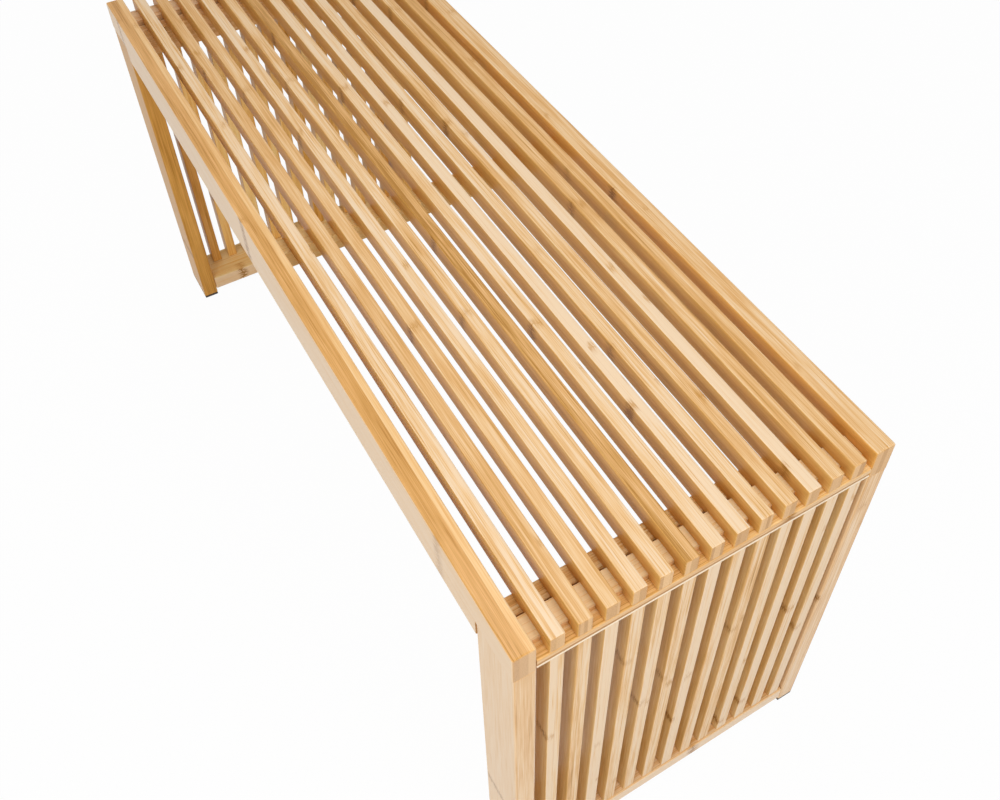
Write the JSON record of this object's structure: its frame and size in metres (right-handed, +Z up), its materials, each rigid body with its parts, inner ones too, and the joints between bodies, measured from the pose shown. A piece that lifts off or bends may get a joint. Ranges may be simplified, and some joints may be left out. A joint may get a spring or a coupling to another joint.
{
  "type": "slatted bench",
  "caption": "Backless bamboo bench: spaced seat slats lie between long rails notched over upright leg frames filled with slats, for sitting on indoors.",
  "frame": {"origin": "on the floor, under the middle of the bench", "axes": "+X along the bench to its right end, +Y across it to the back, +Z up"},
  "size_m": [0.956, 0.35, 0.464],
  "materials": {
    "bamboo_rail": "satin lacquered bamboo",
    "bamboo_seat_slat": "satin lacquered bamboo",
    "bamboo_end_rail": "satin lacquered bamboo",
    "bamboo_post": "satin lacquered bamboo",
    "bamboo_panel_slat": "satin lacquered bamboo",
    "foot_pad": "matt",
    "dowel": "bare wood"
  },
  "bodies": {
    "root": {"front_rail": "bamboo_rail", "back_rail": "bamboo_rail", "seat_slat_01": "bamboo_seat_slat", "seat_slat_02": "bamboo_seat_slat", "seat_slat_03": "bamboo_seat_slat", "seat_slat_04": "bamboo_seat_slat", "seat_slat_05": "bamboo_seat_slat", "seat_slat_06": "bamboo_seat_slat", "seat_slat_07": "bamboo_seat_slat", "seat_slat_08": "bamboo_seat_slat", "seat_slat_09": "bamboo_seat_slat", "seat_slat_10": "bamboo_seat_slat", "seat_slat_11": "bamboo_seat_slat", "seat_slat_12": "bamboo_seat_slat", "seat_slat_13": "bamboo_seat_slat", "right_end_rail": "bamboo_end_rail", "left_end_rail": "bamboo_end_rail", "right_cross_rail": "bamboo_end_rail", "left_cross_rail": "bamboo_end_rail", "middle_rail": "bamboo_end_rail", "right_foot_rail": "bamboo_post", "left_foot_rail": "bamboo_post", "right_front_post": "bamboo_post", "right_back_post": "bamboo_post", "left_front_post": "bamboo_post", "left_back_post": "bamboo_post", "right_panel_slat_01": "bamboo_panel_slat", "right_panel_slat_02": "bamboo_panel_slat", "right_panel_slat_03": "bamboo_panel_slat", "right_panel_slat_04": "bamboo_panel_slat", "right_panel_slat_05": "bamboo_panel_slat", "right_panel_slat_06": "bamboo_panel_slat", "right_panel_slat_07": "bamboo_panel_slat", "right_panel_slat_08": "bamboo_panel_slat", "right_panel_slat_09": "bamboo_panel_slat", "right_panel_slat_10": "bamboo_panel_slat", "right_panel_slat_11": "bamboo_panel_slat", "right_panel_slat_12": "bamboo_panel_slat", "right_panel_slat_13": "bamboo_panel_slat", "left_panel_slat_01": "bamboo_panel_slat", "left_panel_slat_02": "bamboo_panel_slat", "left_panel_slat_03": "bamboo_panel_slat", "left_panel_slat_04": "bamboo_panel_slat", "left_panel_slat_05": "bamboo_panel_slat", "left_panel_slat_06": "bamboo_panel_slat", "left_panel_slat_07": "bamboo_panel_slat", "left_panel_slat_08": "bamboo_panel_slat", "left_panel_slat_09": "bamboo_panel_slat", "left_panel_slat_10": "bamboo_panel_slat", "left_panel_slat_11": "bamboo_panel_slat", "left_panel_slat_12": "bamboo_panel_slat", "left_panel_slat_13": "bamboo_panel_slat", "right_front_foot_pad": "foot_pad", "right_back_foot_pad": "foot_pad", "left_front_foot_pad": "foot_pad", "left_back_foot_pad": "foot_pad", "right_front_dowel": "dowel", "right_back_dowel": "dowel", "left_front_dowel": "dowel", "left_back_dowel": "dowel"}
  },
  "joints": []
}
